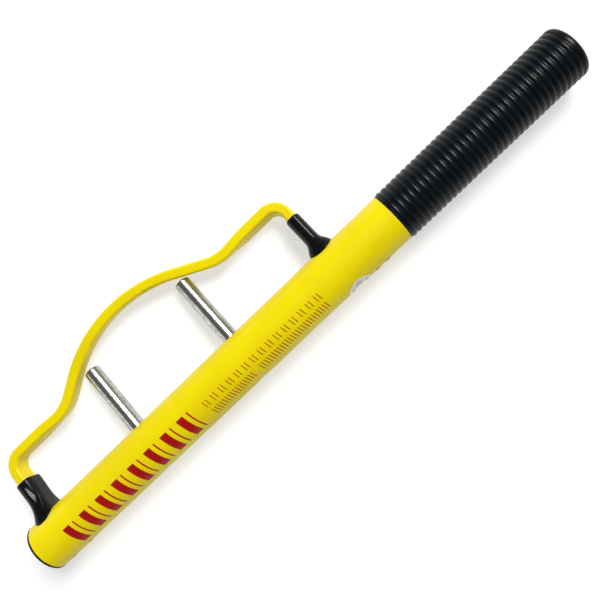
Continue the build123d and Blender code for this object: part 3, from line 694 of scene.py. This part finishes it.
@dataclass(frozen=True)
class MouldedSleeve:
    """A rubber sleeve round a leg of the hoop, with a foot that sits on the tube.

    Attributes:
        name: Name of the piece.
        node: The solid that it stands for.
        leg_x: The leg's place along the tube.
        wall: Thickness of the rubber.
        corner: Corner radius of the foot.
        rings: The outer face, from the foot to the rim.
        slumps: Places that have gone flat.
        tube_r: Radius that the foot sits on.
        skin: Depth under a flat place that is still drawn to it.
    """

    name: str
    node: str
    leg_x: float
    wall: float
    corner: float
    rings: tuple[Ring, ...]
    slumps: tuple[Slump, ...] = ()
    tube_r: float = 24.15
    skin: float = 0.3

    def _centre(self, ring: Ring) -> Vector:
        """Middle of a ring, in metres in the shared frame."""
        return AXES.point(self.leg_x + ring.shift, ring.height, 0)

    def _lay_foot(self) -> bpy.types.Object:
        """Lays the foot's outline: a plane with round corners and its face taken out.

        Returns:
            The piece, in edit mode, with all its edges selected.
        """
        foot = self.rings[0]
        upright = AXES.matrix @ Matrix.Rotation(math.radians(-90), 4, "X")
        bpy.ops.object.select_all(action="DESELECT")
        bpy.ops.mesh.primitive_plane_add(
            size=MM, location=self._centre(foot), rotation=upright.to_euler()
        )
        piece = bpy.context.object
        piece.name = piece.data.name = self.name
        bpy.ops.object.mode_set(mode="EDIT")
        bpy.ops.mesh.select_mode(type="EDGE")
        bpy.ops.mesh.select_all(action="SELECT")
        bpy.ops.transform.resize(value=(foot.width, foot.depth, 1), orient_type="LOCAL")
        bpy.ops.mesh.bevel(offset=self.corner * MM, segments=6, affect="VERTICES")
        bpy.ops.mesh.select_all(action="SELECT")
        bpy.ops.mesh.delete(type="ONLY_FACE")
        edges = bmesh.from_edit_mesh(piece.data)
        longest = max(edge.calc_length() for edge in edges.edges)
        arc = min(edge.calc_length() for edge in edges.edges)
        for edge in edges.edges:
            edge.select_set(edge.calc_length() > min(2 * arc, 0.9 * longest))
        bmesh.update_edit_mesh(piece.data)
        bpy.ops.mesh.subdivide(number_cuts=4)
        bpy.ops.mesh.select_all(action="SELECT")
        return piece

    def _seat_on_tube(self, piece: bpy.types.Object) -> None:
        """Drops the selected ring onto the tube's surface.

        Args:
            piece: The piece, in edit mode.
        """
        bpy.ops.object.vertex_group_assign_new()
        bpy.ops.object.mode_set(mode="OBJECT")
        group = piece.vertex_groups.active.name
        bpy.ops.object.select_all(action="DESELECT")
        across = AXES.matrix @ Matrix.Rotation(math.radians(90), 4, "Y")
        bpy.ops.mesh.primitive_cylinder_add(
            vertices=180,
            radius=self.tube_r * MM,
            depth=4 * self.tube_r * MM,
            location=AXES.point(self.leg_x, 0, 0),
            rotation=across.to_euler(),
        )
        former = bpy.context.object
        bpy.ops.object.select_all(action="DESELECT")
        piece.select_set(True)
        bpy.context.view_layer.objects.active = piece
        wrap = piece.modifiers.new("seat", "SHRINKWRAP")
        wrap.target = former
        wrap.wrap_method = "PROJECT"
        wrap.use_project_z = True
        wrap.use_negative_direction = True
        wrap.vertex_group = group
        bpy.ops.object.modifier_apply(modifier=wrap.name)
        bpy.data.objects.remove(former)
        piece.vertex_groups.remove(piece.vertex_groups[group])
        bpy.ops.object.mode_set(mode="EDIT")

    def _draw_to(self, lower: Ring, upper: Ring) -> None:
        """Extrudes the selected ring to the next one.

        Args:
            lower: The ring that is selected.
            upper: The next ring.
        """
        step = ((upper.shift - lower.shift) * MM, 0, (upper.height - lower.height) * MM)
        bpy.ops.mesh.extrude_edges_move(
            TRANSFORM_OT_translate={"value": step, "orient_type": "LOCAL"}
        )
        flatten = upper.saddle / lower.saddle if lower.saddle else 1.0
        bpy.ops.transform.resize(
            value=(upper.width / lower.width, upper.depth / lower.depth, flatten),
            orient_type="LOCAL",
            center_override=self._centre(upper),
        )

    def _flatten(self, piece: bpy.types.Object, slump: Slump) -> None:
        """Flattens the rubber round one place.

        Args:
            piece: The piece, in edit mode.
            slump: The place.
        """
        x, y, z = slump.place
        facing = (AXES.matrix.to_3x3() @ Vector(slump.facing)).normalized()
        middle = AXES.point(self.leg_x + x, y, z) - facing * slump.sink * MM
        bpy.ops.mesh.select_mode(type="VERT")
        bpy.ops.mesh.select_all(action="DESELECT")
        mesh = bmesh.from_edit_mesh(piece.data)
        for vertex in mesh.verts:
            offset = piece.matrix_world @ vertex.co - middle
            proud = offset.dot(facing) > -self.skin * MM
            vertex.select_set(proud and offset.length < slump.reach * MM)
        bmesh.update_edit_mesh(piece.data)
        turn = Vector((0, 0, 1)).rotation_difference(facing).to_matrix()
        bpy.ops.transform.resize(
            value=(1, 1, slump.left),
            orient_type="GLOBAL",
            orient_matrix=turn.transposed(),
            orient_matrix_type="GLOBAL",
            center_override=middle,
        )

    def build(self) -> bpy.types.Object:
        """Builds the sleeve: its outer face, its rim, its inner face and the sole of its foot.

        Returns:
            The finished piece, with its place in its mesh.
        """
        piece = self._lay_foot()
        self._seat_on_tube(piece)
        bpy.ops.mesh.select_all(action="SELECT")
        inner = [ring.inside(self.wall) for ring in reversed(self.rings)]
        path = [*self.rings, *inner]
        for lower, upper in zip(path, path[1:]):
            self._draw_to(lower, upper)
        self._seat_on_tube(piece)
        bpy.ops.mesh.select_mode(type="EDGE")
        bpy.ops.mesh.select_all(action="DESELECT")
        bpy.ops.mesh.select_non_manifold(extend=False)
        bpy.ops.mesh.bridge_edge_loops()
        for slump in self.slumps:
            self._flatten(piece, slump)
        bpy.ops.mesh.select_all(action="SELECT")
        bpy.ops.mesh.normals_make_consistent(inside=False)
        bpy.ops.object.mode_set(mode="OBJECT")
        smooth = piece.modifiers.new("moulded", "SUBSURF")
        smooth.levels = smooth.render_levels = 2
        bpy.ops.object.modifier_apply(modifier=smooth.name)
        bpy.ops.object.transform_apply(location=True, rotation=True, scale=True)
        bpy.ops.object.shade_smooth()
        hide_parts(self.node)
        LOG.info("%s has %d faces", piece.name, len(piece.data.polygons))
        return piece


@dataclass(frozen=True)
class HingeBoot:
    """The rubber boot over the hinge, with its foot spread over the slot in the tube.

    Attributes:
        leg_x: The hinge leg's place along the tube.
        rim: Height of its upper rim.
        width: Size of its collar along the tube.
        depth: Size of its collar square to the hoop.
        wall: Thickness of the rubber.
        bend: Heights between which it would turn with the hoop; not used.
    """

    leg_x: float = 24.0
    rim: float = 60.5
    width: float = 16.8
    depth: float = 25.6
    wall: float = 2.5
    bend: tuple[float, float] = (22.0, 36.0)

    def rings(self) -> tuple[Ring, ...]:
        """The outer face from the foot up: a spread skirt, a waist and a plain collar."""
        wide, deep = self.width, self.depth
        return (
            Ring(24.3, 23.0, 36.0, -1.8, 1.0),
            Ring(25.5, 22.8, 35.4, -1.8, 0.98),
            Ring(28.0, 20.8, 32.0, -1.4, 0.8),
            Ring(31.5, 18.6, 28.4, -0.8, 0.5),
            Ring(35.5, 17.0, 26.0, -0.3, 0.2),
            Ring(40.0, 16.3, 25.0, 0.0, 0.04),
            Ring(45.0, 16.5, 25.2, 0.2, 0.0),
            Ring(51.0, wide, deep, 0.4),
            Ring(56.0, wide, deep, 0.5),
            Ring(self.rim - 0.9, wide, deep, 0.5),
            Ring(self.rim, wide - 0.9, deep - 0.9, 0.5),
        )

    def slumps(self) -> tuple[Slump, ...]:
        """Where the collar's inner front corner has gone flat over the waist."""
        return (Slump((6.1, 44.0, 11.2), (0.57, 0.0, 0.82), 9.0, 1.4),)

    def build(self, workshop: Workshop) -> None:
        """Builds the boot and finishes it; it is not bent between the tube and the hoop.

        Args:
            workshop: Puts the finish on.
        """
        sleeve = MouldedSleeve(
            "rubber_hinge_boot", "hinge_boot", self.leg_x, self.wall, 9.0, self.rings(), self.slumps()
        )
        boot = sleeve.build()
        workshop.dress(boot, SLEEVE_RUBBER)
        low, high = self.bend
        AXES.point(self.leg_x, low, 0)
        AXES.point(self.leg_x, high, 0)
        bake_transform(boot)


@dataclass(frozen=True)
class LatchSleeve:
    """The rubber sleeve on the hoop's free leg, with a bell that seals the latch hole.

    Attributes:
        leg_x: The free leg's place along the tube.
        rim: Height of its upper rim.
        width: Size of its collar along the tube.
        depth: Size of its collar square to the hoop.
        wall: Thickness of the rubber.
    """

    leg_x: float = 381.5
    rim: float = 62.5
    width: float = 14.4
    depth: float = 24.4
    wall: float = 2.0

    def rings(self) -> tuple[Ring, ...]:
        """The outer face from the foot up: a bell, then a plain collar."""
        wide, deep = self.width, self.depth
        return (
            Ring(24.2, wide + 10.8, deep + 6.0, 0.0, 1.0),
            Ring(25.4, wide + 10.8, deep + 5.8, 0.0, 0.98),
            Ring(27.2, wide + 9.2, deep + 4.6, 0.0, 0.8),
            Ring(29.6, wide + 6.0, deep + 3.0, 0.0, 0.5),
            Ring(32.0, wide + 2.4, deep + 1.4, 0.0, 0.2),
            Ring(34.4, wide + 0.3, deep + 0.2, 0.0, 0.04),
            Ring(38.0, wide, deep),
            Ring(50.0, wide, deep),
            Ring(self.rim - 3.0, wide, deep),
            Ring(self.rim - 0.9, wide, deep),
            Ring(self.rim, wide - 0.9, deep - 0.9),
        )

    def build(self, workshop: Workshop) -> None:
        """Builds the sleeve, finishes it and hangs it on the hoop.

        Args:
            workshop: Puts the finish on.
        """
        sleeve = MouldedSleeve(
            "rubber_latch_sleeve", "latch_sleeve", self.leg_x, self.wall, 10.0, self.rings()
        )
        piece = sleeve.build()
        workshop.dress(piece, SLEEVE_RUBBER)
        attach(piece, Body.HOOP.value)


# ---- studio ----------------------------------------------------------------------------------


@dataclass(frozen=True)
class Studio:
    """The camera, the pale floor and the soft lights.

    Attributes:
        eye_mm: The camera's place in millimetres from the tube's end, level with the table.
        yaw: Turn of the camera about the shared Y axis, in degrees.
        roll: Turn of the camera about its own axis, in degrees.
        lens_mm: Focal length for a 36 mm wide picture.
        horizon: Brightness of the air at the floor's edge.
        ceiling: Brightness of the air overhead.
        haze_top: Sine of the height at which the air is as dark as overhead.
        floor_m: Side of the floor, in metres.
        floor_glow: How far the floor shines by itself, which keeps it pale.
    """

    eye_mm: tuple[float, float, float] = (389.8, 4.04, 584.0)
    yaw: float = 5.25
    roll: float = -43.7
    lens_mm: float = 39.0
    horizon: float = 0.8
    ceiling: float = 0.15
    haze_top: float = 0.3
    floor_m: float = 60.0
    floor_glow: float = 0.6

    def add_camera(self) -> None:
        """Adds the camera and makes it the scene's."""
        data = bpy.data.cameras.new("camera")
        data.lens = self.lens_mm
        data.sensor_width = 36.0
        camera = bpy.data.objects.new("camera", data)
        bpy.context.scene.collection.objects.link(camera)
        turn = Matrix.Rotation(math.radians(self.yaw), 4, "Y")
        turn = turn @ Matrix.Rotation(math.radians(self.roll), 4, "Z")
        origin = AXES.matrix.to_translation()
        camera.matrix_world = Matrix.Translation(origin + Vector(self.eye_mm) * MM) @ turn
        bpy.context.scene.camera = camera

    def add_floor(self) -> None:
        """Adds the plain pale floor."""
        bpy.ops.object.select_all(action="DESELECT")
        bpy.ops.mesh.primitive_plane_add(size=self.floor_m, location=(0, 0, 0))
        floor = bpy.context.object
        floor.name = "floor"
        material = bpy.data.materials.new("pale_floor")
        material.use_nodes = True
        shader = material.node_tree.nodes["Principled BSDF"]
        shader.inputs["Base Color"].default_value = linear("#AEAEAE")
        shader.inputs["Roughness"].default_value = 0.9
        shader.inputs["Specular IOR Level"].default_value = 0.1
        shader.inputs["Emission Color"].default_value = linear("#FFFFFF")
        shader.inputs["Emission Strength"].default_value = self.floor_glow
        floor.data.materials.append(material)

    def add_light(
        self, name: str, place: Sequence[float], size: float, power: float, aim: Sequence[float]
    ) -> None:
        """Adds a square soft light.

        Args:
            name: The light's name.
            place: Its place in metres.
            size: Its side in metres.
            power: Its power in watts.
            aim: The point that it faces, in metres.
        """
        data = bpy.data.lights.new(name, "AREA")
        data.size = size
        data.energy = power
        light = bpy.data.objects.new(name, data)
        bpy.context.scene.collection.objects.link(light)
        light.location = place
        light.rotation_euler = (Vector(aim) - Vector(place)).to_track_quat("-Z", "Y").to_euler()

    def build(self) -> None:
        """Builds the whole studio."""
        self.add_camera()
        self.add_floor()
        self.add_light("key_light", (5.0, 2.65, 6.9), 3.3, 900, (0, 0, 0))
        self.add_light("left_fill", (-2.5, 0.3, 0.9), 1.8, 10, (0, 0, 0))
        world = bpy.data.worlds.new("studio_air")
        bpy.context.scene.world = world
        world.use_nodes = True
        tree = world.node_tree
        coords = add_node(tree, "ShaderNodeTexCoord")
        height = add_node(tree, "ShaderNodeSeparateXYZ", None, {0: coords.outputs["Generated"]})
        glow = add_node(
            tree,
            "ShaderNodeMapRange",
            {"interpolation_type": "SMOOTHSTEP"},
            {
                "Value": height.outputs["Z"],
                "From Min": 0.0,
                "From Max": self.haze_top,
                "To Min": self.horizon,
                "To Max": self.ceiling,
            },
        )
        background = tree.nodes["Background"]
        background.inputs["Color"].default_value = linear("#FFFFFF")
        tree.links.new(glow.outputs["Result"], background.inputs["Strength"])
        bpy.context.scene.view_settings.view_transform = "Standard"


def main() -> None:
    """Builds the lock's looks and reports each piece."""
    logging.basicConfig(level=logging.INFO, format="%(name)s: %(message)s")
    Studio().build()
    workshop = Workshop()
    HingeBoot().build(workshop)
    LatchSleeve().build(workshop)
    for group in (Tube(), Handle(), Hoop(), Latch(), KeyLock()):
        group.dress(workshop)


if __name__ == "__main__":
    main()
